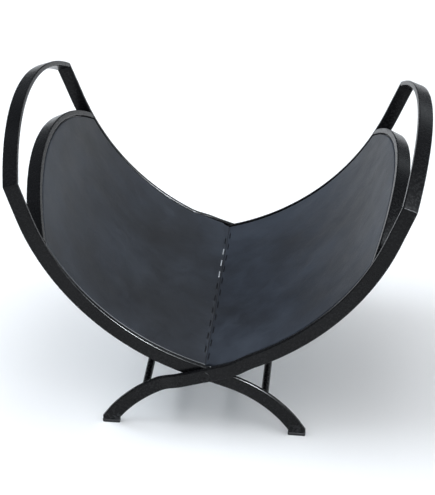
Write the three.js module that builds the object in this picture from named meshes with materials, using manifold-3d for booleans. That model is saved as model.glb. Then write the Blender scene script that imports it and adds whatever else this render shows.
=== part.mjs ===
// Folding firewood rack: two identical S-shaped flat-bar frames crossing on a
// pivot shaft, with a leather lining between the side bars.
// Units are millimetres. +Z is up, +X to the right, and the depth runs along Y
// (front at -Y). The origin is on the floor under the pivot shaft.
import * as THREE from 'three';
import Module from 'manifold-3d';
import { mergeVertices } from 'three/addons/utils/BufferGeometryUtils.js';

const wasm = await Module();
wasm.setup();

// ---- driving dimensions -------------------------------------------------
const BAR_W = 20;            // flat bar, width in the plane of the frame
const BAR_T = 6;             // flat bar, thickness
const HOOP_T = 8;            // end hoop bar, thickness
const BOW_T = 7;             // grip bow bar, thickness
const BAR_C = 0.9;           // arris taken off the bar's corners
const HALF_D = 191;          // outer face of the side bars, from the middle
const PIVOT_Z = 88.5;        // height of the pivot axis over the floor
const CROSS_DEG = 17.75;     // slope of each bar where the two cross
const STRAIGHT = 13.2;       // straight run from the pivot to the upper curve
const R_UP = 342.3;          // centreline radius of the upper curve
const SWEEP_UP = 52.1;       // degrees of the upper curve
const RISER = 50.4;          // straight run from the upper curve to the mitre
const LEAN = 4.5;            // the risers lean in by this much at the mitre
const FOOT_RUN = 32.5;       // straight run from the pivot to the foot curve
const R_FOOT = 176;          // centreline radius of the foot curve
const JOG_IN = 34;           // joggle ramps of the outer bar, measured along it
const JOG_OUT = 66;
const CROSS_GAP = 0.4;       // running clearance between the two bars of a crossing
const WASHER_T = 1.0;        // washer at each end of the pivot shaft
const GAP = 0.3;             // between pieces that touch or are welded
const PAD_H = 4.0;           // glide under each foot
const PAD_L = 23.5;
const BOW_RISE = 53.8;       // grip bow, rise of its outer face over the mitre
const HOOP_DEG = 64.4;       // slope of the bar where the end hoop is welded in
const HOOP_RISE = 60.2;      // end hoop, rise of its outer face at the middle
const R_HOOP = 314;          // end hoop, radius of its outer face
const LEATHER_T = 4.0;
const LEATHER_DROP = 0.6;    // leather face below the inner edge of the bars
const LEATHER_EDGE = 1.7;    // open line all round the leather
const TRAY_T = 2.0;          // steel sheet under the leather
const PANEL_START = 17;      // leather panel, from the pivot along the bar
const STRIP_END = 14.5;      // leather strip over the fold, to each side of the pivot
const TRAY_START = 20;
const SHAFT_R = 5.0;
const SCREW_R = 4.0;
const SCREW_HEAD_R = 7.2;
const TIE_R = 5.0;
const TIE_X = 79;            // tie rod, distance from the pivot plane

const rad = (d) => (d * Math.PI) / 180;
const JOG = BAR_T + CROSS_GAP;
const A0 = rad(CROSS_DEG);
const A_TOP = A0 + rad(SWEEP_UP);
const IN_Y = HALF_D - BAR_T; // inner face of the side bars

// ---- materials ----------------------------------------------------------
const steel = (c) => new THREE.MeshStandardMaterial({ color: c, roughness: 0.42, metalness: 0.35 });
const leather = (c) => new THREE.MeshStandardMaterial({ color: c, roughness: 0.55, metalness: 0 });

// ---- mesh helpers -------------------------------------------------------
function toGeometry(points, tris) {
  const g = new THREE.BufferGeometry();
  g.setAttribute('position', new THREE.Float32BufferAttribute(points.flat(), 3));
  g.setIndex(tris.flat());
  return g;
}

// solid through a row of convex sections with the same number of corners
function loft(sections) {
  const n = sections[0].length;
  const pts = sections.flat();
  const tris = [];
  for (let i = 0; i + 1 < sections.length; i++) {
    for (let j = 0; j < n; j++) {
      const a = i * n + j, b = i * n + ((j + 1) % n), c = a + n, d = b + n;
      tris.push([a, b, d], [a, d, c]);
    }
  }
  const last = (sections.length - 1) * n;
  for (let j = 1; j + 1 < n; j++) {
    tris.push([0, j + 1, j]);
    tris.push([last, last + j, last + j + 1]);
  }
  let v = 0;
  for (const [a, b, c] of tris) {
    const p = pts[a], q = pts[b], r = pts[c];
    v += p[0] * (q[1] * r[2] - q[2] * r[1]) - p[1] * (q[0] * r[2] - q[2] * r[0]) + p[2] * (q[0] * r[1] - q[1] * r[0]);
  }
  if (v < 0) for (const t of tris) t.reverse();
  return toGeometry(pts, tris);
}

function solid(geometry) {
  const g = geometry.clone();
  for (const k of Object.keys(g.attributes)) if (k !== 'position') g.deleteAttribute(k);
  const m = mergeVertices(g, 1e-4);
  return new wasm.Manifold(new wasm.Mesh({
    numProp: 3,
    vertProperties: new Float32Array(m.attributes.position.array),
    triVerts: new Uint32Array(m.index.array),
  }));
}

function fromSolid(s) {
  const m = s.getMesh();
  const g = new THREE.BufferGeometry();
  const p = [];
  for (let i = 0; i < m.vertProperties.length; i += m.numProp) {
    p.push(m.vertProperties[i], m.vertProperties[i + 1], m.vertProperties[i + 2]);
  }
  g.setAttribute('position', new THREE.Float32BufferAttribute(p, 3));
  g.setIndex(Array.from(m.triVerts));
  return g;
}

// geometry of a mirrored or turned copy, faces kept outward
function transformed(geometry, matrix) {
  const g = geometry.clone();
  g.applyMatrix4(matrix);
  if (matrix.determinant() < 0) {
    const ix = g.index.array;
    for (let i = 0; i < ix.length; i += 3) { const t = ix[i]; ix[i] = ix[i + 2]; ix[i + 2] = t; }
  }
  return g;
}

// cylinder or cone along Y between y0 and y1, round the pivot axis or at (x, z)
function alongY(r0, r1, y0, y1, x = 0, z = 0, n = 40) {
  const ring = (r, y) => Array.from({ length: n }, (_, k) => {
    const a = (2 * Math.PI * (k + 0.5)) / n;
    return [x + r * Math.cos(a), y, z + r * Math.sin(a)];
  });
  return loft([ring(r0, y0), ring(r1, y1)]);
}

// prism of an X-Z outline along Y
function prismY(outline, y0, y1) {
  const shape = new THREE.Shape(outline.map(([x, z]) => new THREE.Vector2(x, z)));
  const g = new THREE.ExtrudeGeometry(shape, { depth: y1 - y0, bevelEnabled: false });
  // shape plane X-Y, depth Z  ->  X, Z, -Y
  g.applyMatrix4(new THREE.Matrix4().set(1, 0, 0, 0, 0, 0, -1, y1, 0, 1, 0, 0, 0, 0, 0, 1));
  return g;
}

// ---- centreline of one side bar ------------------------------------------
// The bar's grip end is at -X and its foot at +X. Positions are relative to the
// pivot, s runs from the pivot towards the grip (+) or the foot (-), and n is
// the normal on the upper, inner side of the bar.
const DIR0 = [-Math.cos(A0), Math.sin(A0)];
const NRM0 = [Math.sin(A0), Math.cos(A0)];
const C_UP = [DIR0[0] * STRAIGHT + NRM0[0] * R_UP, DIR0[1] * STRAIGHT + NRM0[1] * R_UP];
const C_FOOT = [-DIR0[0] * FOOT_RUN - NRM0[0] * R_FOOT, -DIR0[1] * FOOT_RUN - NRM0[1] * R_FOOT];
const S_UP = STRAIGHT + R_UP * rad(SWEEP_UP);
const S_TOP = S_UP + RISER;
const S_LEAN = S_UP - 28;     // the lean starts just above the end hoop
const DIR_TOP = [-Math.cos(A_TOP), Math.sin(A_TOP)];
const NRM_TOP = [Math.sin(A_TOP), Math.cos(A_TOP)];

function barAt(s) {
  if (s > S_UP) {
    const p = [C_UP[0] - NRM_TOP[0] * R_UP, C_UP[1] - NRM_TOP[1] * R_UP];
    return { p: [p[0] + DIR_TOP[0] * (s - S_UP), p[1] + DIR_TOP[1] * (s - S_UP)], n: NRM_TOP };
  }
  if (s > STRAIGHT) {
    const a = A0 + (s - STRAIGHT) / R_UP;
    const n = [Math.sin(a), Math.cos(a)];
    return { p: [C_UP[0] - n[0] * R_UP, C_UP[1] - n[1] * R_UP], n };
  }
  if (s > -FOOT_RUN) return { p: [DIR0[0] * s, DIR0[1] * s], n: NRM0 };
  const a = A0 + (-s - FOOT_RUN) / R_FOOT;
  const n = [Math.sin(a), Math.cos(a)];
  return { p: [C_FOOT[0] + n[0] * R_FOOT, C_FOOT[1] + n[1] * R_FOOT], n };
}

// corners of the bar section: u along the normal, v through the thickness
const hw = BAR_W / 2;
const barSection = (t) => [
  [-hw, BAR_C], [-hw, t - BAR_C], [-hw + BAR_C, t], [hw - BAR_C, t],
  [hw, t - BAR_C], [hw, BAR_C], [hw - BAR_C, 0], [-hw + BAR_C, 0],
];
const SECTION = barSection(BAR_T);
const BOW_SECTION = barSection(BOW_T);
const HOOP_SECTION = barSection(HOOP_T);

const BOW_D = HALF_D - LEAN;  // outer face of the side bars at the mitre
const bowR = (BOW_D * BOW_D + BOW_RISE * BOW_RISE) / (2 * BOW_RISE);
const bowEnd = Math.asin(BOW_D / bowR);
// the mitre halves the corner between riser and grip bow
const MITRE_SLOPE = 1 / Math.tan((Math.PI / 2 + bowEnd) / 2);

// side bar; jog sets its middle outward. v = 0 is the outer face at Y = -HALF_D
function sideBar(jog) {
  const zCut = PAD_H + GAP - PIVOT_Z;
  const stops = [];
  const footLen = 0.86; // radians of foot curve before the floor cut
  for (let i = 14; i >= 1; i--) stops.push(-FOOT_RUN - (R_FOOT * footLen * i) / 14);
  for (const f of [0, 0.2, 0.4, 0.6, 0.8, 1]) {
    const d = JOG_IN + (JOG_OUT - JOG_IN) * f;
    stops.push(-d, d);
  }
  stops.push(-FOOT_RUN + 4, 0, STRAIGHT);
  const nUp = 24;
  for (let i = 1; i <= nUp; i++) stops.push(JOG_OUT + 3 + ((S_UP - JOG_OUT - 3) * i) / nUp);
  for (let i = 1; i < 6; i++) stops.push(S_UP + (RISER * i) / 6);
  stops.sort((a, b) => a - b);
  const clean = stops.filter((s, i) => i === 0 || s - stops[i - 1] > 1.5);
  const off = (s) => {
    if (s > S_LEAN) return LEAN * Math.pow((s - S_LEAN) / (S_TOP - S_LEAN), 1.6);
    const a = Math.abs(s);
    const t = Math.min(1, Math.max(0, (JOG_OUT - a) / (JOG_OUT - JOG_IN)));
    return -jog * t * t * (3 - 2 * t); // eased at both ends
  };
  const sections = [];
  // foot end, cut level just above the pad; the outer tip is eased
  sections.push(SECTION.map(([u, v]) => {
    const r = R_FOOT + u;
    const n = (zCut - C_FOOT[1]) / r;
    const a = Math.acos(n);
    return [C_FOOT[0] + r * Math.sin(a), -HALF_D + v, PIVOT_Z + zCut];
  }));
  for (const s of clean) {
    if (s < -FOOT_RUN) {
      const { p, n } = barAt(s);
      if (p[1] - hw < zCut + 1.5) continue;
    }
    const { p, n } = barAt(s);
    sections.push(SECTION.map(([u, v]) => [p[0] + n[0] * u, -HALF_D + v + off(s), PIVOT_Z + p[1] + n[1] * u]));
  }
  const top = barAt(S_TOP);
  sections.push(SECTION.map(([u, v]) => {
    const d = -MITRE_SLOPE * v - GAP * 0.55;
    return [top.p[0] + top.n[0] * u + DIR_TOP[0] * d, -BOW_D + v, PIVOT_Z + top.p[1] + top.n[1] * u + DIR_TOP[1] * d];
  }));
  let body = solid(loft(sections));
  // eased outer tip of the foot
  const rTip = R_FOOT + hw;
  const aTip = Math.acos((zCut - C_FOOT[1]) / rTip);
  const tx = C_FOOT[0] + rTip * Math.sin(aTip);
  const tz = PIVOT_Z + zCut;
  const e = 3.6;
  const wedge = prismY([[tx - e, tz - 1], [tx + 6, tz - 1], [tx + 6, tz + e + 4], [tx - 0.2 * e, tz + e + 0.6], [tx - 0.42 * e, tz + 0.42 * e]], -HALF_D - 10, -HALF_D + BAR_T + 10);
  body = body.subtract(solid(wedge));
  // pivot bore, countersunk on the outer bar
  const yc = -HALF_D - jog;         // outer face at the pivot
  const bore = alongY(SCREW_R + GAP, SCREW_R + GAP, yc - 2, yc + BAR_T + 2, 0, PIVOT_Z, 32);
  body = body.subtract(solid(bore));
  if (jog > 0) {
    const sink = SCREW_HEAD_R - SCREW_R;
    body = body.subtract(solid(alongY(SCREW_HEAD_R + GAP + 1, SCREW_R + GAP, yc - 1, yc + sink, 0, PIVOT_Z, 32)));
  }
  return fromSolid(body);
}

// bar bent in the plane of Y and dir, from the mitre of one side bar to the other
function gripBow() {
  const base = barAt(S_TOP);
  const place = (u, y, h) => [
    base.p[0] + base.n[0] * u + DIR_TOP[0] * h, y, PIVOT_Z + base.p[1] + base.n[1] * u + DIR_TOP[1] * h,
  ];
  const cH = BOW_RISE - bowR;
  const sections = [];
  const N = 40;
  const gapAng = (GAP * 0.55) / bowR;
  for (let i = 0; i <= N; i++) {
    const f = -1 + (2 * i) / N;
    sections.push(BOW_SECTION.map(([u, v]) => {
      if (i === 0 || i === N) {
        const k = i === 0 ? -1 : 1;
        // corner on the mitre plane
        const y = k * (BOW_D - v), h = -MITRE_SLOPE * v;
        return place(u, y - k * GAP * 0.5, h + GAP * 0.3);
      }
      const a = f * (bowEnd - gapAng);
      const r = bowR - v;
      return place(u, r * Math.sin(a), cH + r * Math.cos(a));
    }));
  }
  return loft(sections);
}

const S_HOOP = STRAIGHT + R_UP * (rad(HOOP_DEG) - A0);
const HOOP_BASE = barAt(S_HOOP);
const DIR_HOOP = [-Math.cos(rad(HOOP_DEG)), Math.sin(rad(HOOP_DEG))];
const hoopC = HOOP_RISE - R_HOOP;

function endHoop() {
  const place = (u, y, h) => [
    HOOP_BASE.p[0] + HOOP_BASE.n[0] * u + DIR_HOOP[0] * h, y,
    PIVOT_Z + HOOP_BASE.p[1] + HOOP_BASE.n[1] * u + DIR_HOOP[1] * h,
  ];
  const N = 36;
  const yEnd = IN_Y - GAP;
  const sections = [];
  for (let i = 0; i <= N; i++) {
    const f = -1 + (2 * i) / N;
    sections.push(HOOP_SECTION.map(([u, v]) => {
      const r = R_HOOP - v;
      const a = f * Math.asin(yEnd / r);
      return place(u, r * Math.sin(a), hoopC + r * Math.cos(a));
    }));
  }
  return loft(sections);
}

// curved sheet following the inner edge of the side bars, its outer end rounded
// to the end hoop; n0 and n1 are its two faces measured along the bar's normal
function lining(sStart, n0, n1, yHalf, endGap) {
  const ss = [];
  ss.push(sStart);
  const N = 22;
  for (let i = 0; i <= N; i++) {
    const s = Math.max(STRAIGHT, sStart) + ((S_HOOP - Math.max(STRAIGHT, sStart)) * i) / N;
    if (s - ss[ss.length - 1] > 0.5) ss.push(s);
  }
  const at = (s, n) => {
    const b = barAt(s);
    return [b.p[0] + b.n[0] * n, b.p[1] + b.n[1] * n];
  };
  const ext = 80;
  const endAt = (n) => [
    HOOP_BASE.p[0] + HOOP_BASE.n[0] * n + DIR_HOOP[0] * ext,
    HOOP_BASE.p[1] + HOOP_BASE.n[1] * n + DIR_HOOP[1] * ext,
  ];
  const lower = ss.map((s) => at(s, n0)).concat([endAt(n0)]);
  const upper = ss.map((s) => at(s, n1)).concat([endAt(n1)]);
  const outline = lower.concat(upper.reverse()).map(([x, z]) => [x, z + PIVOT_Z]);
  const ribbon = solid(prismY(outline, -yHalf, yHalf));
  // cutter: outline of the rounded end, standing along the hoop's normal
  const r = R_HOOP - HOOP_T - endGap;
  const pts = [];
  const M = 30;
  const aMax = Math.asin((yHalf + 2) / r);
  for (let i = 0; i <= M; i++) {
    const a = -aMax + (2 * aMax * i) / M;
    pts.push([r * Math.sin(a), hoopC + r * Math.cos(a)]);
  }
  const low = -420;
  const loop = [[-yHalf - 2, low]].concat(pts, [[yHalf + 2, low]]);
  const section = (u) => loop.map(([y, h]) => [
    HOOP_BASE.p[0] + HOOP_BASE.n[0] * u + DIR_HOOP[0] * h, y,
    PIVOT_Z + HOOP_BASE.p[1] + HOOP_BASE.n[1] * u + DIR_HOOP[1] * h,
  ]);
  const cutter = solid(loft([section(-60), section(330)]));
  return fromSolid(ribbon.intersect(cutter));
}

function tieRod() {
  // on the foot's centreline at TIE_X
  let s = -FOOT_RUN;
  while (barAt(s).p[0] < TIE_X) s -= 0.05;
  const { p } = barAt(s);
  return alongY(TIE_R, TIE_R, -IN_Y + GAP, IN_Y - GAP, p[0], PIVOT_Z + p[1], 20);
}

function footPad() {
  const zCut = PAD_H + GAP - PIVOT_Z;
  const rIn = R_FOOT - hw;
  const xIn = C_FOOT[0] + rIn * Math.sin(Math.acos((zCut - C_FOOT[1]) / rIn));
  const x0 = xIn - 2.2, x1 = x0 + PAD_L;
  const y0 = -HALF_D - 1, y1 = -HALF_D + BAR_T + 1;
  const c = 1.2;
  const ring = (ins, z) => {
    const a0 = x0 + ins, a1 = x1 - ins, b0 = y0 + ins, b1 = y1 - ins;
    return [[a0 + c, b0, z], [a1 - c, b0, z], [a1, b0 + c, z], [a1, b1 - c, z], [a1 - c, b1, z], [a0 + c, b1, z], [a0, b1 - c, z], [a0, b0 + c, z]];
  };
  return loft([ring(0.8, 0), ring(0, 0.8), ring(0, PAD_H - 0.6), ring(0.6, PAD_H)]);
}

// ---- pieces on the pivot axis --------------------------------------------
const outerFace = HALF_D + JOG;                       // face of the outer bar of a crossing
const SHAFT_HALF = IN_Y - WASHER_T - 2 * GAP;

function pivotShaft() {
  let b = solid(alongY(SHAFT_R, SHAFT_R, -SHAFT_HALF, SHAFT_HALF, 0, PIVOT_Z, 32));
  return b;
}

function ringY(rIn, rOut, y0, y1) {
  const o = solid(alongY(rOut, rOut, y0, y1, 0, PIVOT_Z, 24));
  return fromSolid(o.subtract(solid(alongY(rIn, rIn, y0 - 1, y1 + 1, 0, PIVOT_Z, 24))));
}

const TAP_DEPTH = 18;
const TAP_R = 3.0;           // thread in the shaft's end
function shaftWithTaps() {
  let b = pivotShaft();
  for (const k of [-1, 1]) {
    const y0 = k * (SHAFT_HALF + 1), y1 = k * (SHAFT_HALF - TAP_DEPTH);
    b = b.subtract(solid(alongY(TAP_R + GAP, TAP_R + GAP, Math.min(y0, y1), Math.max(y0, y1), 0, PIVOT_Z, 24)));
  }
  return fromSolid(b);
}

function pivotScrew(k) {
  const y = (d) => k * (outerFace - d);
  const sink = SCREW_HEAD_R - SCREW_R;
  const ring = (r, d, n = 32) => Array.from({ length: n }, (_, i) => {
    const a = (2 * Math.PI * (i + 0.5)) / n;
    return [r * Math.cos(a), y(d), PIVOT_Z + r * Math.sin(a)];
  });
  const reach = outerFace - SHAFT_HALF;
  let b = solid(loft([
    ring(SCREW_HEAD_R - 0.5, -0.35), ring(SCREW_HEAD_R, 0.1), ring(SCREW_R, sink),
    ring(SCREW_R, reach - GAP - 0.01), ring(TAP_R, reach - GAP), ring(TAP_R, reach + TAP_DEPTH - 2),
  ]));
  const hex = (d) => Array.from({ length: 6 }, (_, i) => {
    const a = (Math.PI * i) / 3;
    return [2.9 * Math.cos(a), y(d), PIVOT_Z + 2.9 * Math.sin(a)];
  });
  b = b.subtract(solid(loft([hex(-1), hex(2.6)])));
  return fromSolid(b);
}

// leather strip that bridges the fold between the two panels, kept inside the
// circle that the panels' ends turn on
function foldStrip() {
  const n1 = hw - LEATHER_DROP, n0 = n1 - LEATHER_T;
  const s1 = STRIP_END;
  const at = (n, s) => {
    const b = barAt(s);
    return [b.p[0] + b.n[0] * n, b.p[1] + b.n[1] * n];
  };
  const topMid = [0, n1 / Math.cos(A0)], botMid = [0, Math.max(n0 / Math.cos(A0), SHAFT_R + GAP)];
  const L = [at(n1, s1), at(n1, STRAIGHT), topMid];
  const Lb = [at(n0, s1), at(n0, STRAIGHT), botMid];
  const mir = (a) => a.map(([x, z]) => [-x, z]);
  const top = L.concat(mir(L.slice(0, 2)).reverse());
  const bot = Lb.concat(mir(Lb.slice(0, 2)).reverse());
  const outline = top.concat(bot.reverse()).map(([x, z]) => [x, z + PIVOT_Z]);
  const y = IN_Y - LEATHER_EDGE;
  return prismY(outline, -y, y);
}

// ---- assembly -------------------------------------------------------------
const rack = new THREE.Group();
rack.name = 'firewood_rack';
function add(parent, name, geometry, material) {
  const mesh = new THREE.Mesh(geometry, material.clone());
  mesh.name = name;
  parent.add(mesh);
  return mesh;
}

const turnZ = new THREE.Matrix4().makeRotationZ(Math.PI);
const mirrorY = new THREE.Matrix4().makeScale(1, -1, 1);
const BLACK = 0x1b1c20, SLATE = 0x5a646e;

// frame with its grip at the left; the right one is the same piece turned half round
const inward = sideBar(0);         // front bar of the left frame passes inside, straight
const outward = transformed(sideBar(JOG), mirrorY);
const bow = gripBow();
const hoop = endHoop();
const tie = tieRod();
const pad = footPad();
const padRear = transformed(pad, mirrorY);
const topN = hw - LEATHER_DROP;
const panel = lining(PANEL_START, topN - LEATHER_T, topN, IN_Y - LEATHER_EDGE, LEATHER_EDGE);
const tray = lining(TRAY_START, topN - LEATHER_T - GAP - TRAY_T, topN - LEATHER_T - GAP, IN_Y - GAP, GAP);

for (const side of ['left', 'right']) {
  const g = new THREE.Group();
  const m = side === 'left' ? new THREE.Matrix4() : turnZ;
  const f = (geometry) => transformed(geometry, m);
  const [frontBar, rearBar] = side === 'left' ? [inward, outward] : [outward, inward];
  const [frontPad, rearPad] = side === 'left' ? [pad, padRear] : [padRear, pad];
  add(g, `${side}_front_side_bar`, f(frontBar), steel(BLACK));
  add(g, `${side}_rear_side_bar`, f(rearBar), steel(BLACK));
  add(g, `${side}_grip_bow`, f(bow), steel(BLACK));
  add(g, `${side}_end_hoop`, f(hoop), steel(BLACK));
  add(g, `${side}_foot_tie_rod`, f(tie), steel(BLACK));
  add(g, `${side}_front_foot_pad`, f(frontPad), new THREE.MeshStandardMaterial({ color: 0x111214, roughness: 0.8, metalness: 0 }));
  add(g, `${side}_rear_foot_pad`, f(rearPad), new THREE.MeshStandardMaterial({ color: 0x111214, roughness: 0.8, metalness: 0 }));
  add(g, `${side}_lining_tray`, f(tray), steel(0x202226));
  add(g, `${side}_leather_panel`, f(panel), leather(SLATE));
  rack.add(g);
}

const pivot = new THREE.Group();
add(pivot, 'pivot_shaft', shaftWithTaps(), steel(0x2a2c30));
for (const [name, k] of [['front', -1], ['rear', 1]]) {
  add(pivot, `${name}_pivot_screw`, pivotScrew(k), steel(0x17181b));
  const span = (mid) => [Math.min(k * (mid - WASHER_T / 2), k * (mid + WASHER_T / 2)), Math.max(k * (mid - WASHER_T / 2), k * (mid + WASHER_T / 2))];
  const nylon = new THREE.MeshStandardMaterial({ color: 0x141416, roughness: 0.6, metalness: 0 });
  add(pivot, `${name}_shaft_washer`, ringY(SCREW_R + GAP, 7.5, ...span(IN_Y - GAP - WASHER_T / 2)), nylon);
}
add(pivot, 'leather_fold_strip', foldStrip(), leather(0x3c444c));
rack.add(pivot);

export default rack;
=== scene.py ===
import math

import bpy
import numpy as np
from mathutils import Matrix, Vector


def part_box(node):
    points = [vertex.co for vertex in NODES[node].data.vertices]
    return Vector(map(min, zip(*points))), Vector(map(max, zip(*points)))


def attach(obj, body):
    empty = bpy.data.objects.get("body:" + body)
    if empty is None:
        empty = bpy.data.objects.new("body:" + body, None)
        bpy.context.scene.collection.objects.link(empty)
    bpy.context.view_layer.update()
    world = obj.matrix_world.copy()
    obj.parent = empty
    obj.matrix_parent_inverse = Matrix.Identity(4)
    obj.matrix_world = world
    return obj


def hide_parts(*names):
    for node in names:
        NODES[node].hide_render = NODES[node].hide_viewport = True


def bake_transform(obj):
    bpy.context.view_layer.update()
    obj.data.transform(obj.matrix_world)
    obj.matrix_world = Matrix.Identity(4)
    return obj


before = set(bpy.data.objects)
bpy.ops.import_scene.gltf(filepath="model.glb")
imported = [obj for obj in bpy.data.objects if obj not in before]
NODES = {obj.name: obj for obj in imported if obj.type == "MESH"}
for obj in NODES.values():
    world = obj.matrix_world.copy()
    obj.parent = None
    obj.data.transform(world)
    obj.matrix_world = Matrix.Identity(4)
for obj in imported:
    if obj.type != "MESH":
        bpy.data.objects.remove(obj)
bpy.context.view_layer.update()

# ---- camera -----------------------------------------------------------------
YAW, PITCH, ROLL = (math.radians(a) for a in (4.784, 30.4195, -1.285))
fwd = Vector((-math.sin(YAW) * math.cos(PITCH), math.cos(YAW) * math.cos(PITCH), -math.sin(PITCH)))
right0 = Vector((math.cos(YAW), math.sin(YAW), 0))
down0 = fwd.cross(right0)
right = math.cos(ROLL) * right0 + math.sin(ROLL) * down0
down = -math.sin(ROLL) * right0 + math.cos(ROLL) * down0
cam_data = bpy.data.cameras.new("camera")
cam_data.lens = 112.975
cam_data.sensor_width = 36
cam_data.sensor_fit = "AUTO"
cam_data.shift_x = -0.0007
cam_data.clip_start, cam_data.clip_end = 0.05, 60
cam = bpy.data.objects.new("camera", cam_data)
bpy.context.scene.collection.objects.link(cam)
cam.matrix_world = Matrix((
    (right.x, -down.x, -fwd.x, 0.15256),
    (right.y, -down.y, -fwd.y, -1.85005),
    (right.z, -down.z, -fwd.z, 1.25883),
    (0, 0, 0, 1)))
bpy.context.scene.camera = cam

# ---- the rack's dimensions, in millimetres, as the CAD has them ---------------
BAR_W, BAR_T, HOOP_T, BOW_T = 20.0, 6.0, 8.0, 7.0
HALF_D, PIVOT_Z = 191.0, 88.5
A0 = math.radians(17.75)
STRAIGHT, R_UP, SWEEP_UP, RISER = 13.2, 342.3, math.radians(52.1), 50.4
LEAN = 4.5
FOOT_RUN, R_FOOT = 32.5, 176.0
JOG_IN, JOG_OUT, JOG = 34.0, 66.0, 6.4
PAD_H, GAP = 4.0, 0.3
BOW_RISE = 53.8
HOOP_A, HOOP_RISE, R_HOOP = math.radians(64.4), 60.2, 314.0
LEATHER_T, LEATHER_DROP, LEATHER_EDGE = 4.0, 0.6, 1.7
TRAY_T, TRAY_START = 2.0, 20.0
TIE_R, TIE_X = 5.0, 79.0
SCREW_R, SCREW_HEAD_R = 4.0, 7.2
HW = BAR_W / 2
IN_Y = HALF_D - BAR_T
A_TOP = A0 + SWEEP_UP
DIR0 = np.array([-math.cos(A0), math.sin(A0)])
NRM0 = np.array([math.sin(A0), math.cos(A0)])
C_UP = DIR0 * STRAIGHT + NRM0 * R_UP
C_FOOT = -DIR0 * FOOT_RUN - NRM0 * R_FOOT
S_UP = STRAIGHT + R_UP * SWEEP_UP
S_TOP = S_UP + RISER
S_LEAN = S_UP - 28
DIR_TOP = np.array([-math.cos(A_TOP), math.sin(A_TOP)])
NRM_TOP = np.array([math.sin(A_TOP), math.cos(A_TOP)])
BOW_D = HALF_D - LEAN
BOW_R = (BOW_D ** 2 + BOW_RISE ** 2) / (2 * BOW_RISE)
BOW_END = math.asin(BOW_D / BOW_R)
MITRE = 1 / math.tan((math.pi / 2 + BOW_END) / 2)


def bar_at(s):
    """centreline point, upper normal and direction towards the grip, X and Z, from the pivot"""
    if s > S_UP:
        return C_UP - NRM_TOP * R_UP + DIR_TOP * (s - S_UP), NRM_TOP, DIR_TOP
    if s > STRAIGHT:
        a = A0 + (s - STRAIGHT) / R_UP
        n = np.array([math.sin(a), math.cos(a)])
        return C_UP - n * R_UP, n, np.array([-math.cos(a), math.sin(a)])
    if s > -FOOT_RUN:
        return DIR0 * s, NRM0, DIR0
    a = A0 + (-s - FOOT_RUN) / R_FOOT
    n = np.array([math.sin(a), math.cos(a)])
    return C_FOOT + n * R_FOOT, n, np.array([-math.cos(a), math.sin(a)])


S_HOOP = STRAIGHT + R_UP * (HOOP_A - A0)
HOOP_P, HOOP_N, _ = bar_at(S_HOOP)
HOOP_D = np.array([-math.cos(HOOP_A), math.sin(HOOP_A)])
HOOP_C = HOOP_RISE - R_HOOP


# ---- mesh helpers -------------------------------------------------------------
def make(name, verts, faces, normals=None, sharp=35.0):
    """mesh object from millimetre vertices; normals are the exact smooth ones"""
    v = np.asarray(verts, float) / 1000.0
    me = bpy.data.meshes.new(name)
    me.from_pydata(v.tolist(), [], faces)
    me.update()
    me.shade_smooth()
    if normals is not None:
        nv = np.asarray(normals, float)
        nv = nv / np.maximum(np.linalg.norm(nv, axis=1, keepdims=True), 1e-9)
        limit = math.cos(math.radians(sharp))
        out = []
        for p in me.polygons:
            fn = np.array(p.normal)
            for vi in p.vertices:
                n = nv[vi]
                out.append(tuple(n if float(n @ fn) > limit else fn))
        me.normals_split_custom_set(out)
    o = bpy.data.objects.new(name, me)
    bpy.context.scene.collection.objects.link(o)
    return o


def outward(verts, faces):
    """turn the faces if the closed mesh's volume is negative"""
    v = np.asarray(verts, float)
    vol = 0.0
    for f in faces:
        for i in range(1, len(f) - 1):
            vol += float(np.dot(v[f[0]], np.cross(v[f[i]], v[f[i + 1]])))
    return faces if vol > 0 else [tuple(reversed(f)) for f in faces]


def rounded(t, r, seg=4, w=BAR_W):
    """rounded rectangle as (u, v, nu, nv): u across the bar, v through it"""
    out = []
    for cu, cv, a0 in ((w / 2 - r, r, -90), (w / 2 - r, t - r, 0), (-w / 2 + r, t - r, 90), (-w / 2 + r, r, 180)):
        for k in range(seg + 1):
            a = math.radians(a0 + 90 * k / seg)
            out.append((cu + r * math.cos(a), cv + r * math.sin(a), math.cos(a), math.sin(a)))
    return out


def strip(rings):
    """faces of a closed tube of rings with flat ends"""
    n = len(rings[0])
    faces = []
    for i in range(len(rings) - 1):
        for j in range(n):
            a, b = i * n + j, i * n + (j + 1) % n
            faces.append((a, b, b + n, a + n))
    faces.append(tuple(reversed(range(n))))
    faces.append(tuple((len(rings) - 1) * n + j for j in range(n)))
    return faces


def tube(name, rings, norms, ease=0.45, steps=3):
    """closed tube; both ends are eased by a small radius"""
    rings = [np.asarray(r, float) for r in rings]
    norms = [np.asarray(q, float) for q in norms]
    first, last = [], []
    for end, (r, q, inner) in enumerate(((rings[0], norms[0], rings[1]), (rings[-1], norms[-1], rings[-2]))):
        c = np.cross(r[len(r) // 4] - r[0], r[len(r) // 2] - r[0])
        c /= np.linalg.norm(c)
        if float(c @ (r.mean(0) - inner.mean(0))) < 0:
            c = -c
        back = inner - r
        back /= np.maximum(np.linalg.norm(back, axis=1, keepdims=True), 1e-9)
        for k in range(steps + 1):
            f = math.radians(90 * k / steps)
            pos = r + back * (ease * (1 - math.sin(f))) - q * (ease * (1 - math.cos(f)))
            nn = q * math.cos(f) + c * math.sin(f)
            (first if end == 0 else last).append((pos, nn))
    allr = [p for p, _ in reversed(first)] + rings[1:-1] + [p for p, _ in last]
    alln = [q for _, q in reversed(first)] + norms[1:-1] + [q for _, q in last]
    faces = outward(np.concatenate(allr), strip(allr))
    return make(name, np.concatenate(allr), faces, np.concatenate(alln))


def v3(p, y):
    return np.array([p[0], y, PIVOT_Z + p[1]])


# ---- side bar -------------------------------------------------------------------
BAR_R = 1.7


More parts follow.
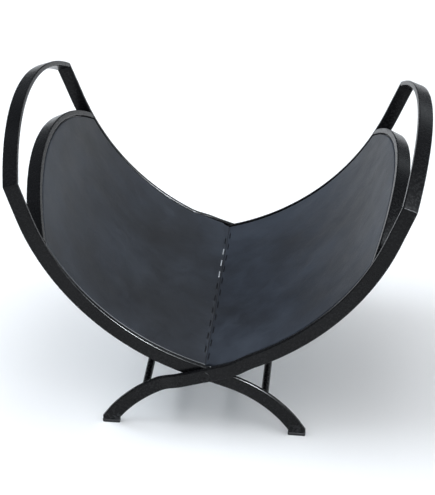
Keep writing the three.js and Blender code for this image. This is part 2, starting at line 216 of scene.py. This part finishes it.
def side_bar(name, jog):
    sec = rounded(BAR_T, BAR_R)
    zc = PAD_H + GAP - PIVOT_Z

    def off(s):
        if s > S_LEAN:
            return LEAN * ((s - S_LEAN) / (S_TOP - S_LEAN)) ** 1.6
        t = min(1.0, max(0.0, (JOG_OUT - abs(s)) / (JOG_OUT - JOG_IN)))
        return -jog * t * t * (3 - 2 * t)

    rings, norms = [], []

    def put(points, n, d, slope):
        vdir = np.array([0, 1.0, 0]) - slope * np.array([d[0], 0, d[1]])
        vdir /= np.linalg.norm(vdir)
        ndir = np.array([n[0], 0, n[1]])
        rings.append(points)
        norms.append([ndir * q[2] + vdir * q[3] for q in sec])

    # foot end: level cut over the pad with its outer tip eased
    def foot_ring(height, squeeze):
        pts = []
        for u, v, _, _ in sec:
            uu = 3 + (u - 3) * 0.50 if squeeze and u > 3 else u
            z = zc + (height if not squeeze else 0.0) * max(0.0, (uu - 6.2) / 3.8)
            r = R_FOOT + uu
            a = math.acos((z - C_FOOT[1]) / r)
            pts.append([C_FOOT[0] + r * math.sin(a), -HALF_D + v, PIVOT_Z + z])
        return pts

    a_end = math.acos((zc - C_FOOT[1]) / R_FOOT)
    n_end = np.array([math.sin(a_end), math.cos(a_end)])
    d_end = np.array([-math.cos(a_end), math.sin(a_end)])
    put(foot_ring(0, True), n_end, d_end, 0)
    put(foot_ring(4.2, False), n_end, d_end, 0)
    s_cut = -FOOT_RUN - R_FOOT * (a_end - A0)
    stations = list(np.arange(s_cut + 14, -FOOT_RUN, 4.0)) + list(np.arange(-FOOT_RUN, S_UP, 3.0)) + list(np.arange(S_UP, S_TOP - 3, 4.0))
    for s in stations:
        p, n, d = bar_at(s)
        slope = (off(s + 0.5) - off(s - 0.5))
        y = off(s)
        put([[p[0] + n[0] * u, -HALF_D + v + y, PIVOT_Z + p[1] + n[1] * u] for u, v, _, _ in sec], n, d, slope)
    p, n, d = bar_at(S_TOP)
    pts = []
    for u, v, _, _ in sec:
        back = -MITRE * v - 0.12
        pts.append([p[0] + n[0] * u + d[0] * back, -BOW_D + v, PIVOT_Z + p[1] + n[1] * u + d[1] * back])
    put(pts, n, d, (off(S_TOP) - off(S_TOP - 1)))
    return tube(name, rings, norms, ease=0.4)


def grip_bow(name):
    sec = rounded(BOW_T, BAR_R)
    p0, n, d = bar_at(S_TOP)
    c_h = BOW_RISE - BOW_R
    rings, norms = [], []
    N = 96
    for i in range(N + 1):
        f = -1 + 2 * i / N
        a = f * (BOW_END - 0.0008)
        rad = np.array([d[0] * math.cos(a), math.sin(a), d[1] * math.cos(a)])
        pts = []
        for u, v, _, _ in sec:
            if i in (0, N):
                k = -1 if i == 0 else 1
                y, h = k * (BOW_D - v), -MITRE * v + 0.12
            else:
                y, h = (BOW_R - v) * math.sin(a), c_h + (BOW_R - v) * math.cos(a)
            pts.append([p0[0] + n[0] * u + d[0] * h, y, PIVOT_Z + p0[1] + n[1] * u + d[1] * h])
        if i in (1, N - 1):
            continue
        rings.append(pts)
        norms.append([np.array([n[0], 0, n[1]]) * q[2] - rad * q[3] for q in sec])
    return tube(name, rings, norms, ease=0.4)


def end_hoop(name):
    sec = rounded(HOOP_T, BAR_R)
    rings, norms = [], []
    N = 90
    y_end = IN_Y - 0.1
    for i in range(N + 1):
        f = -1 + 2 * i / N
        pts = []
        for u, v, _, _ in sec:
            r = R_HOOP - v
            a = f * math.asin(y_end / r)
            h = HOOP_C + r * math.cos(a)
            pts.append([HOOP_P[0] + HOOP_N[0] * u + HOOP_D[0] * h, r * math.sin(a), PIVOT_Z + HOOP_P[1] + HOOP_N[1] * u + HOOP_D[1] * h])
        a = f * math.asin(y_end / (R_HOOP - HOOP_T / 2))
        rad = np.array([HOOP_D[0] * math.cos(a), math.sin(a), HOOP_D[1] * math.cos(a)])
        rings.append(pts)
        norms.append([np.array([HOOP_N[0], 0, HOOP_N[1]]) * q[2] - rad * q[3] for q in sec])
    return tube(name, rings, norms, ease=0.3)


def tie_height():
    s = -FOOT_RUN
    while bar_at(s)[0][0] < TIE_X:
        s -= 0.05
    return bar_at(s)[0]


def round_rod(name, x, z, r, y0, y1, n=48, ease=0.5):
    ang = [2 * math.pi * k / n for k in range(n)]
    rings, norms = [], []
    for y in np.linspace(y0, y1, 14):
        rings.append([[x + r * math.cos(a), y, z + r * math.sin(a)] for a in ang])
        norms.append([[math.cos(a), 0, math.sin(a)] for a in ang])
    return tube(name, rings, norms, ease=ease)


def bead(path, across, r, closed=True, seed=1.0):
    """verts and faces of a small uneven weld bead along a path; across are the two directions of its section"""
    n = 10
    verts, faces = [], []
    m = len(path)
    for i, (p, (a, b)) in enumerate(zip(path, across)):
        wob = 1 + 0.13 * math.sin(i * 1.9 + seed) + 0.07 * math.sin(i * 4.7 + 2 * seed)
        for k in range(n):
            t = 2 * math.pi * k / n
            verts.append(np.asarray(p) + (np.asarray(a) * math.cos(t) + np.asarray(b) * math.sin(t)) * r * wob)
    for i in range(m if closed else m - 1):
        j = (i + 1) % m
        for k in range(n):
            l = (k + 1) % n
            faces.append((i * n + k, i * n + l, j * n + l, j * n + k))
    if not closed:
        faces.append(tuple(reversed(range(n))))
        faces.append(tuple((m - 1) * n + k for k in range(n)))
    return verts, faces


def ring_beads(name, x, z, r, ys, size):
    """weld beads round a rod where it meets the side bars"""
    verts, faces = [], []
    for q, (y, k) in enumerate(ys):
        path, across = [], []
        for i in range(56):
            a = 2 * math.pi * i / 56
            rad = np.array([math.cos(a), 0, math.sin(a)])
            path.append(np.array([x, y - k * size * 0.35, z]) + rad * (r + size * 0.35))
            across.append((rad, np.array([0, 1.0, 0])))
        v, f = bead(path, across, size, seed=1.3 + q)
        f = outward(v, f)
        base = len(verts)
        verts += v
        faces += [tuple(i + base for i in g) for g in f]
    return make(name, verts, faces)


def hoop_beads(name):
    """fillet welds round the ends of the hoop on the side bars' inner faces"""
    verts, faces = [], []
    size = 1.1
    for k in (-1, 1):
        y = k * (IN_Y - 0.25)
        r_out = R_HOOP
        h_out = HOOP_C + math.sqrt(r_out ** 2 - y ** 2)
        h_in = HOOP_C + math.sqrt((r_out - HOOP_T) ** 2 - y ** 2)
        loop = [(-HW + 1.5, h_out + 0.3), (HW - 2.2, h_out + 0.3)]
        path, across = [], []
        for i in range(26):
            t = i / 25
            u = loop[0][0] + (loop[1][0] - loop[0][0]) * t
            path.append([HOOP_P[0] + HOOP_N[0] * u + HOOP_D[0] * h_out, y, PIVOT_Z + HOOP_P[1] + HOOP_N[1] * u + HOOP_D[1] * h_out])
            across.append((np.array([HOOP_D[0], 0, HOOP_D[1]]), np.array([0, 1.0, 0])))
        v, f = bead(path, across, size, closed=False, seed=2.1 + k)
        f = outward(v, f)
        base = len(verts)
        verts += v
        faces += [tuple(i + base for i in g) for g in f]
    return make(name, verts, faces)


# ---- lining: a sheet that follows the inner edge of the bars -----------------------
def noise2(a, b, seed):
    rng = np.random.RandomState(seed)
    out = 0.0
    for _ in range(9):
        kx, ky = rng.uniform(-1, 1, 2)
        ph = rng.uniform(0, 6.28)
        fr = rng.uniform(0.010, 0.045)
        out = out + math.sin((kx * a + ky * b) * fr * 2 * math.pi / 2.2 + ph)
    return out / 9


def sheet_point(s, n):
    if s > S_HOOP:
        q = HOOP_P + HOOP_N * n + HOOP_D * (s - S_HOOP)
        return q
    p, nn, _ = bar_at(s)
    return p + nn * n


def s_end(y, r, n):
    return S_HOOP + HOOP_C + math.sqrt(max(r * r - y * y, 0.0))


def lining(name, n_top, thick, half, r_end, start, rho_top, rho_bot, wave=0.0, rows=120, cols=72, seed=5):
    """start is a function of (n, inset) giving the s where the sheet begins"""
    def grid(n, e, wave=0.0):
        pts = np.zeros((rows + 1, cols + 1, 3))
        for j in range(cols + 1):
            b = -1 + 2 * j / cols
            b = math.sin(b * math.pi / 2) * 0.35 + b * 0.65
            y = b * (half - e)
            s1 = s_end(y, r_end - e, n)
            s0 = start(n, e)
            knee = S_HOOP - 26
            for i in range(rows + 1):
                t = i / rows
                if t < 0.82:
                    s = s0 + (knee - s0) * t / 0.82
                else:
                    s = knee + (s1 - knee) * (t - 0.82) / 0.18
                w = 0.0
                if wave:
                    fade = min(1, (half - abs(y)) / 30) * min(1, max(0, (s - 22)) / 40) * min(1, max(0, s1 - s) / 30)
                    w = wave * max(0, fade) * noise2(s, y, seed)
                q = sheet_point(s, n + w)
                pts[i, j] = (q[0], y, PIVOT_Z + q[1])
        return pts

    def edge(g):
        top = [g[0, j] for j in range(cols + 1)]
        rgt = [g[i, cols] for i in range(1, rows + 1)]
        bot = [g[rows, j] for j in range(cols - 1, -1, -1)]
        lft = [g[i, 0] for i in range(rows - 1, 0, -1)]
        return top + rgt + bot + lft

    def edge_index(base):
        ix = [base + j for j in range(cols + 1)]
        ix += [base + i * (cols + 1) + cols for i in range(1, rows + 1)]
        ix += [base + rows * (cols + 1) + j for j in range(cols - 1, -1, -1)]
        ix += [base + i * (cols + 1) for i in range(rows - 1, 0, -1)]
        return ix

    n_bot = n_top - thick
    verts, faces = [], []
    gt = grid(n_top, rho_top, wave)
    verts += list(gt.reshape(-1, 3))
    for i in range(rows):
        for j in range(cols):
            a = i * (cols + 1) + j
            faces.append((a, a + 1, a + cols + 2, a + cols + 1))
    ring = edge_index(0)
    levels = []
    for k in range(1, 5):
        f = math.radians(90 * k / 4)
        levels.append((n_top - rho_top * (1 - math.cos(f)), rho_top * (1 - math.sin(f))))
    for k in range(0, 3):
        f = math.radians(90 * k / 3)
        levels.append((n_bot + rho_bot * (1 - math.sin(f)), rho_bot * (1 - math.cos(f))))
    for n, e in levels:
        pts = edge(edge_grid(n, e, rows, cols, half, r_end, start))
        base = len(verts)
        verts += pts
        m = len(pts)
        nxt = list(range(base, base + m))
        for a in range(m):
            b = (a + 1) % m
            faces.append((ring[b], ring[a], nxt[a], nxt[b]))
        ring = nxt
    base = len(verts)
    gb = grid(n_bot, rho_bot)
    verts += list(gb.reshape(-1, 3))
    er = edge_index(base)
    m = len(er)
    for a in range(m):
        b = (a + 1) % m
        faces.append((ring[b], ring[a], er[a], er[b]))
    for i in range(rows):
        for j in range(cols):
            a = base + i * (cols + 1) + j
            faces.append((a, a + cols + 1, a + cols + 2, a + 1))
    return make(name, verts, outward(verts, faces))


def edge_grid(n, e, rows, cols, half, r_end, start):
    """only the border of the grid at one level, as an array with the border filled"""
    pts = np.zeros((rows + 1, cols + 1, 3))
    for j in range(cols + 1):
        b = -1 + 2 * j / cols
        b = math.sin(b * math.pi / 2) * 0.35 + b * 0.65
        y = b * (half - e)
        s1 = s_end(y, r_end - e, n)
        s0 = start(n, e)
        knee = S_HOOP - 26
        for i in (range(rows + 1) if j in (0, cols) else (0, rows)):
            t = i / rows
            s = s0 + (knee - s0) * t / 0.82 if t < 0.82 else knee + (s1 - knee) * (t - 0.82) / 0.18
            q = sheet_point(s, n)
            pts[i, j] = (q[0], y, PIVOT_Z + q[1])
    return pts


def centre_start(n, e):
    # the halves meet on the plane x = 0
    return (n * math.sin(A0) + e + 0.05) / math.cos(A0)


# ---- placing a piece made for the left frame on either side --------------------------
def flip(o, mirror_y=False, turn=False):
    """turned half round Z for the right frame, or mirrored front to back"""
    m = Matrix.Identity(4)
    if mirror_y:
        m = Matrix.Diagonal((1, -1, 1, 1)) @ m
    if turn:
        m = Matrix.Rotation(math.pi, 4, "Z") @ m
    me = o.data
    custom = me.has_custom_normals
    normals = [tuple(Vector(c.vector)) for c in me.corner_normals] if custom else None
    me.transform(m)
    if mirror_y:
        me.flip_normals()
    if custom:
        r = m.to_3x3()
        # corner order changes when faces are flipped, so match normals by vertex and face
        if mirror_y:
            out = []
            for p in me.polygons:
                start, cnt = p.loop_start, p.loop_total
                src = [start + (cnt - k) % cnt for k in range(cnt)]
                out += [tuple(r @ Vector(normals[i])) for i in src]
        else:
            out = [tuple(r @ Vector(q)) for q in normals]
        me.normals_split_custom_set(out)
    return o


# ---- materials -----------------------------------------------------------------------
def new_material(name):
    m = bpy.data.materials.new(name)
    m.use_nodes = True
    nt = m.node_tree
    for n in list(nt.nodes):
        nt.nodes.remove(n)
    out = nt.nodes.new("ShaderNodeOutputMaterial")
    bsdf = nt.nodes.new("ShaderNodeBsdfPrincipled")
    nt.links.new(bsdf.outputs[0], out.inputs[0])
    return m, nt, bsdf


def node(nt, kind, **kw):
    n = nt.nodes.new(kind)
    for k, v in kw.items():
        if hasattr(n, k) and not k.startswith("i_"):
            setattr(n, k, v)
        else:
            n.inputs[k[2:].replace("_", " ") if k.startswith("i_") else k].default_value = v
    return n


def ramp(nt, stops):
    r = nt.nodes.new("ShaderNodeValToRGB")
    e = r.color_ramp.elements
    while len(e) > 1:
        e.remove(e[-1])
    e[0].position, e[0].color = stops[0][0], (*stops[0][1], 1)
    for p, c in stops[1:]:
        x = e.new(p)
        x.color = (*c, 1)
    return r


def steel_material(name, dark, light, rough=0.36, spec=0.32, bump=0.35):
    m, nt, b = new_material(name)
    L = nt.links.new
    tc = nt.nodes.new("ShaderNodeTexCoord")
    big = node(nt, "ShaderNodeTexNoise", i_Scale=14.0, i_Detail=3.0, i_Roughness=0.55)
    L(tc.outputs["Object"], big.inputs["Vector"])
    fine = node(nt, "ShaderNodeTexNoise", i_Scale=900.0, i_Detail=2.0, i_Roughness=0.5)
    L(tc.outputs["Object"], fine.inputs["Vector"])
    speck = node(nt, "ShaderNodeTexNoise", i_Scale=260.0, i_Detail=4.0, i_Roughness=0.65)
    L(tc.outputs["Object"], speck.inputs["Vector"])
    col = ramp(nt, [(0.30, dark), (0.72, light)])
    L(big.outputs["Fac"], col.inputs["Fac"])
    # lighter colour on the convex edges, broken up by the speckle: partly edge wear, partly a painted highlight along
    # the rounded arrises
    geo = nt.nodes.new("ShaderNodeNewGeometry")
    edge = ramp(nt, [(0.53, (0, 0, 0)), (0.62, (1, 1, 1))])
    L(geo.outputs["Pointiness"], edge.inputs["Fac"])
    edge_wear_and_highlight = node(nt, "ShaderNodeMath", operation="MULTIPLY")
    L(edge.outputs["Color"], edge_wear_and_highlight.inputs[0])
    thr = ramp(nt, [(0.50, (0, 0, 0)), (0.75, (0.6, 0.6, 0.6))])
    L(speck.outputs["Fac"], thr.inputs["Fac"])
    L(thr.outputs["Color"], edge_wear_and_highlight.inputs[1])
    mix = node(nt, "ShaderNodeMix", data_type="RGBA")
    L(edge_wear_and_highlight.outputs[0], mix.inputs["Factor"])
    L(col.outputs["Color"], mix.inputs[6])
    mix.inputs[7].default_value = (0.06, 0.062, 0.068, 1)
    L(mix.outputs[2], b.inputs["Base Color"])
    rr = node(nt, "ShaderNodeMapRange", i_From_Min=0.3, i_From_Max=0.7, i_To_Min=rough - 0.05, i_To_Max=rough + 0.08)
    L(speck.outputs["Fac"], rr.inputs["Value"])
    L(rr.outputs[0], b.inputs["Roughness"])
    b.inputs["Metallic"].default_value = 0.0
    b.inputs["Specular IOR Level"].default_value = spec
    bm = node(nt, "ShaderNodeBump", i_Strength=bump, i_Distance=0.00006)
    L(fine.outputs["Fac"], bm.inputs["Height"])
    L(bm.outputs[0], b.inputs["Normal"])
    return m


def leather_material(name):
    m, nt, b = new_material(name)
    L = nt.links.new
    tc = nt.nodes.new("ShaderNodeTexCoord")
    big = node(nt, "ShaderNodeTexNoise", i_Scale=7.5, i_Detail=4.0, i_Roughness=0.55, i_Distortion=0.3)
    L(tc.outputs["Object"], big.inputs["Vector"])
    mid = node(nt, "ShaderNodeTexNoise", i_Scale=42.0, i_Detail=5.0, i_Roughness=0.62, i_Distortion=0.5)
    L(tc.outputs["Object"], mid.inputs["Vector"])
    col = ramp(nt, [(0.28, (0.0110, 0.0130, 0.0175)), (0.45, (0.0165, 0.0208, 0.0295)), (0.58, (0.0240, 0.0310, 0.0440)), (0.75, (0.0340, 0.0430, 0.0590))])
    L(big.outputs["Fac"], col.inputs["Fac"])
    mot = ramp(nt, [(0.32, (0.62, 0.60, 0.62)), (0.62, (1.0, 1.0, 1.0))])
    L(mid.outputs["Fac"], mot.inputs["Fac"])
    mul = node(nt, "ShaderNodeMix", data_type="RGBA", blend_type="MULTIPLY")
    mul.inputs["Factor"].default_value = 0.7
    L(col.outputs["Color"], mul.inputs[6])
    L(mot.outputs["Color"], mul.inputs[7])
    L(mul.outputs[2], b.inputs["Base Color"])
    # pores and grain
    vor = node(nt, "ShaderNodeTexVoronoi", i_Scale=620.0, i_Randomness=1.0)
    vor.feature = "DISTANCE_TO_EDGE"
    L(tc.outputs["Object"], vor.inputs["Vector"])
    grain = node(nt, "ShaderNodeTexNoise", i_Scale=380.0, i_Detail=4.0, i_Roughness=0.6)
    L(tc.outputs["Object"], grain.inputs["Vector"])
    vr = node(nt, "ShaderNodeMapRange", i_From_Min=0.0, i_From_Max=0.12)
    L(vor.outputs["Distance"], vr.inputs["Value"])
    add = node(nt, "ShaderNodeMath", operation="MULTIPLY_ADD")
    L(vr.outputs[0], add.inputs[0])
    add.inputs[1].default_value = 0.5
    L(grain.outputs["Fac"], add.inputs[2])
    b1 = node(nt, "ShaderNodeBump", i_Strength=0.32, i_Distance=0.00010)
    L(add.outputs[0], b1.inputs["Height"])
    b2 = node(nt, "ShaderNodeBump", i_Strength=0.55, i_Distance=0.0007)
    L(mid.outputs["Fac"], b2.inputs["Height"])
    L(b1.outputs[0], b2.inputs["Normal"])
    L(b2.outputs[0], b.inputs["Normal"])
    rr = node(nt, "ShaderNodeMapRange", i_From_Min=0.25, i_From_Max=0.75, i_To_Min=0.42, i_To_Max=0.56)
    L(mid.outputs["Fac"], rr.inputs["Value"])
    L(rr.outputs[0], b.inputs["Roughness"])
    b.inputs["Specular IOR Level"].default_value = 0.15
    b.inputs["Sheen Weight"].default_value = 0.08
    b.inputs["Sheen Roughness"].default_value = 0.5
    return m


def plain_material(name, c, rough, spec, scale=300.0, depth=0.00008):
    m, nt, b = new_material(name)
    L = nt.links.new
    tc = nt.nodes.new("ShaderNodeTexCoord")
    n = node(nt, "ShaderNodeTexNoise", i_Scale=scale, i_Detail=3.0)
    L(tc.outputs["Object"], n.inputs["Vector"])
    col = ramp(nt, [(0.3, tuple(x * 0.8 for x in c)), (0.7, tuple(x * 1.2 for x in c))])
    L(n.outputs["Fac"], col.inputs["Fac"])
    L(col.outputs["Color"], b.inputs["Base Color"])
    rr = node(nt, "ShaderNodeMapRange", i_To_Min=rough - 0.06, i_To_Max=rough + 0.06)
    L(n.outputs["Fac"], rr.inputs["Value"])
    L(rr.outputs[0], b.inputs["Roughness"])
    b.inputs["Specular IOR Level"].default_value = spec
    bm = node(nt, "ShaderNodeBump", i_Strength=0.4, i_Distance=depth)
    L(n.outputs["Fac"], bm.inputs["Height"])
    L(bm.outputs[0], b.inputs["Normal"])
    return m


STEEL = steel_material("black_powder_coat", (0.0036, 0.0037, 0.0043), (0.0070, 0.0071, 0.0080), rough=0.25, spec=0.15, bump=0.03)
TRAY = steel_material("tray_coat", (0.0045, 0.0047, 0.0053), (0.0090, 0.0092, 0.0100), rough=0.34, spec=0.14, bump=0.3)
SHAFT = steel_material("black_oxide", (0.006, 0.0062, 0.0068), (0.012, 0.0125, 0.0135), rough=0.28, spec=0.25)
LEATHER = leather_material("slate_leather")
THREAD = plain_material("waxed_thread", (0.0035, 0.0042, 0.0060), 0.5, 0.12, scale=1500.0, depth=0.0001)
# pale colour for three stitches of the dark thread: a painted highlight, not a thread of another colour
HIGHLIGHT_THREAD = plain_material("thread_with_painted_highlight", (0.42, 0.45, 0.48), 0.34, 0.6, scale=1500.0, depth=0.0001)
RUBBER = plain_material("pad_rubber", (0.008, 0.008, 0.009), 0.72, 0.25)
NYLON = plain_material("washer_nylon", (0.010, 0.010, 0.011), 0.5, 0.3)


def paint(o, mat):
    o.data.materials.clear()
    o.data.materials.append(mat)
    return o


# ---- the two frames ---------------------------------------------------------------------
tie_p = tie_height()
for side in ("left", "right"):
    body = side + "_frame"
    turn = side == "right"
    # (node, jog, mirrored): the front bar of the left frame is the straight inner one
    fb, rb = ((0.0, False), (JOG, True)) if side == "left" else ((JOG, True), (0.0, False))
    for end, (jog, mir) in (("front", fb), ("rear", rb)):
        o = side_bar(f"{side}_{end}_bar", jog)
        flip(o, mirror_y=mir, turn=turn)
        paint(o, STEEL)
        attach(o, body)
        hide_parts(f"{side}_{end}_side_bar")
    for make_piece, nm, cad in ((grip_bow, "grip", "grip_bow"), (end_hoop, "hoop", "end_hoop")):
        o = make_piece(f"{side}_{nm}")
        flip(o, turn=turn)
        paint(o, STEEL)
        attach(o, body)
        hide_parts(f"{side}_{cad}")
    o = round_rod(f"{side}_tie_rod", tie_p[0], PIVOT_Z + tie_p[1], TIE_R, -IN_Y + 0.1, IN_Y - 0.1)
    flip(o, turn=turn)
    paint(o, STEEL)
    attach(o, body)
    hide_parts(f"{side}_foot_tie_rod")
    o = ring_beads(f"{side}_tie_welds", tie_p[0], PIVOT_Z + tie_p[1], TIE_R, ((-IN_Y, -1), (IN_Y, 1)), 1.2)
    flip(o, turn=turn)
    paint(o, STEEL)
    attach(o, body)
    o = hoop_beads(f"{side}_hoop_welds")
    flip(o, turn=turn)
    paint(o, STEEL)
    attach(o, body)
    for end in ("front", "rear"):
        lo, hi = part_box(f"{side}_{end}_foot_pad")
        lo, hi = np.array(lo) * 1000, np.array(hi) * 1000
        cx, cy = (lo[0] + hi[0]) / 2, (lo[1] + hi[1]) / 2
        sec = rounded(hi[1] - lo[1], 1.8, w=hi[0] - lo[0])
        rings = [[[cx + u, lo[1] + v, z] for u, v, _, _ in sec] for z in (0.0, 1.2, 2.8, hi[2])]
        norms = [[[nu, nv, 0] for _, _, nu, nv in sec] for _ in range(4)]
        o = tube(f"{side}_{end}_pad", rings, norms, ease=0.7)
        paint(o, RUBBER)
        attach(o, body)
        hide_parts(f"{side}_{end}_foot_pad")
    top_n = HW - LEATHER_DROP
    o = lining(f"{side}_tray", top_n - LEATHER_T - GAP, TRAY_T, IN_Y - GAP, R_HOOP - HOOP_T - GAP,
               lambda n, e: TRAY_START + e, 0.5, 0.5, rows=70, cols=30)
    flip(o, turn=turn)
    paint(o, TRAY)
    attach(o, body)
    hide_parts(f"{side}_lining_tray")

# ---- leather ---------------------------------------------------------------------------
def stitch(verts, faces, y0, y1, x, k):
    """one long stitch lying on the leather from y0 to y1, its ends going down into the slits"""
    n, m = 10, 18
    base = len(verts)
    for i in range(m + 1):
        t = i / m
        y = y0 + (y1 - y0) * t
        e = min(t, 1 - t) * (y1 - y0)
        dip = 1.5 * max(0.0, 1 - e / 1.6) ** 2
        w = 0.85 * (0.55 + 0.45 * min(1, e / 1.2))
        s = (abs(x) + 0.0) / math.cos(A0) + (HW - LEATHER_DROP) * math.tan(A0)
        p = sheet_point(s, HW - LEATHER_DROP + 0.18 - dip)
        q = sheet_point(s + 1, HW - LEATHER_DROP + 0.18 - dip)
        tang = np.array([q[0] - p[0], 0, q[1] - p[1]])
        tang /= np.linalg.norm(tang)
        nrm = np.array([math.sin(A0), 0, math.cos(A0)])
        c = np.array([p[0], y, PIVOT_Z + p[1]])
        if t in (0, 1):
            w *= 0.55
        for j in range(n):
            a = 2 * math.pi * j / n
            verts.append((c + tang * (w * math.cos(a)) + nrm * (0.62 * w * math.sin(a))) * np.array([k, k, 1.0]))
    for i in range(m):
        for j in range(n):
            l = (j + 1) % n
            faces.append((base + i * n + j, base + i * n + l, base + (i + 1) * n + l, base + (i + 1) * n + j))
    faces.append(tuple(base + j for j in reversed(range(n))))
    faces.append(tuple(base + m * n + j for j in range(n)))


top_n = HW - LEATHER_DROP
half_y = IN_Y - LEATHER_EDGE
for side in ("left", "right"):
    o = lining(f"{side}_leather", top_n, LEATHER_T, half_y, R_HOOP - HOOP_T - LEATHER_EDGE,
               centre_start, 1.3, 0.5, wave=0.55, rows=150, cols=96, seed=5 if side == "left" else 11)
    for vert in o.data.vertices:
        x, yy = -vert.co.x * 1000, vert.co.y * 1000
        if yy > half_y - 10 and 0 < x < 66:
            bow = min(1.0, max(0.0, (JOG_OUT - x / math.cos(A0)) / (JOG_OUT - JOG_IN)))
            rise = min(1.0, max(0.0, (x - 5) / 7))
            near = 1.2 * min(1.0, max(0.0, (x - 4.6) / 2))
            edge_w = (yy - half_y + 10) / 10
            out_by = max(near, 0.85 * JOG * rise * rise * (3 - 2 * rise)) * bow * bow * (3 - 2 * bow) * edge_w * edge_w * (3 - 2 * edge_w)
            vert.co.y += out_by / 1000
    flip(o, turn=side == "right")
    paint(o, LEATHER)
    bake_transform(o)
    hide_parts(f"{side}_leather_panel", "leather_fold_strip")
    # flat area of the half: the rectangle to the start of the curve and the circle's segment over it
    r = R_HOOP - HOOP_T - LEATHER_EDGE
    seg = 2 * sum(math.sqrt(r * r - y * y) for y in np.linspace(0, half_y, 2000)) * half_y / 2000
    area = 2 * half_y * (S_HOOP - top_n * math.tan(A0) + HOOP_C) + seg

PITCH_Y, DASH, ROW_X = 32.0, 17.5, 2.9
ROW_LEFT, ROW_RIGHT = [], []
y = -half_y + 9
while y + DASH < half_y - 6:
    ROW_RIGHT.append((y, y + DASH))
    if y + PITCH_Y / 2 + DASH < half_y - 6:
        ROW_LEFT.append((y + PITCH_Y / 2, y + PITCH_Y / 2 + DASH))
    y += PITCH_Y
# the second to fourth stitches from the rear of the left row are pale: a painted highlight where light catches the
# dark thread
for name, side, row, mat in (("left_stitches", "left", ROW_LEFT[:-4] + ROW_LEFT[-1:], THREAD),
                             ("left_highlit_stitches", "left", ROW_LEFT[-4:-1], HIGHLIGHT_THREAD),
                             ("right_stitches", "right", ROW_RIGHT, THREAD)):
    verts, faces = [], []
    for y0, y1 in row:
        a, b = (y0, y1) if side == "left" else (-y1, -y0)
        stitch(verts, faces, a, b, ROW_X, 1.0 if side == "left" else -1.0)
    o = make(name, verts, outward(verts, faces))
    paint(o, mat)
    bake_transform(o)

# ---- the CAD pieces that stay -----------------------------------------------------------
for name in ("pivot_shaft", "front_pivot_screw", "rear_pivot_screw"):
    paint(NODES[name], SHAFT if name == "pivot_shaft" else STEEL)
for name in ("front_shaft_washer", "rear_shaft_washer"):
    paint(NODES[name], NYLON)

# ---- floor, light -----------------------------------------------------------------------
me = bpy.data.meshes.new("floor")
me.from_pydata([(-9, -7, 0), (9, -7, 0), (9, 14, 0), (-9, 14, 0)], [], [(0, 1, 2, 3)])
floor = bpy.data.objects.new("floor", me)
bpy.context.scene.collection.objects.link(floor)
fm, fnt, fb_ = new_material("pale_floor")
fb_.inputs["Base Color"].default_value = (0.93, 0.93, 0.93, 1)
fb_.inputs["Roughness"].default_value = 0.9
fb_.inputs["Specular IOR Level"].default_value = 0.1
floor.data.materials.append(fm)


def area(name, loc, target, size, power, colour=(1, 1, 1), size_y=None, spec=1.0):
    d = bpy.data.lights.new(name, "AREA")
    d.shape = "RECTANGLE"
    d.size, d.size_y = size, size_y or size
    d.energy = power
    d.color = colour
    d.specular_factor = spec
    o = bpy.data.objects.new(name, d)
    bpy.context.scene.collection.objects.link(o)
    o.location = loc
    o.rotation_mode = "QUATERNION"
    o.rotation_quaternion = (Vector(target) - Vector(loc)).to_track_quat("-Z", "Y")
    return o


world = bpy.data.worlds.new("studio")
world.use_nodes = True
bg = world.node_tree.nodes["Background"]
bg.inputs[0].default_value = (0.86, 0.93, 1.0, 1)
bg.inputs[1].default_value = 0.16
bpy.context.scene.world = world
overhead = area("overhead", (0, 0.6, 3.2), (0, 0.6, 0), 7.0, 200, (0.97, 0.98, 1.0), 7.0)
overhead.visible_glossy = False
side_left = area("side_left", (-1.9, 0.1, 1.9), (0.15, 0, 0.2), 2.2, 50, (0.86, 0.93, 1.0), 2.2)
side_left.visible_glossy = False
area("side_right", (2.5, 0.3, 1.3), (-0.15, 0, 0.25), 1.5, 17, (0.88, 0.95, 1.0), 0.9)
# these two only show as reflections in the paint
glint = area("glint", (1.5, -1.1, 1.65), (0, -0.1, 0.15), 0.35, 520, (0.90, 0.95, 1.0))
glint.visible_diffuse = False
back = area("back", (1.15, 3.0, 1.65), (0.1, 0, 0.3), 1.5, 3.5, (0.88, 0.95, 1.0), 0.8)
back.visible_diffuse = False

bpy.context.scene.view_settings.view_transform = "Standard"
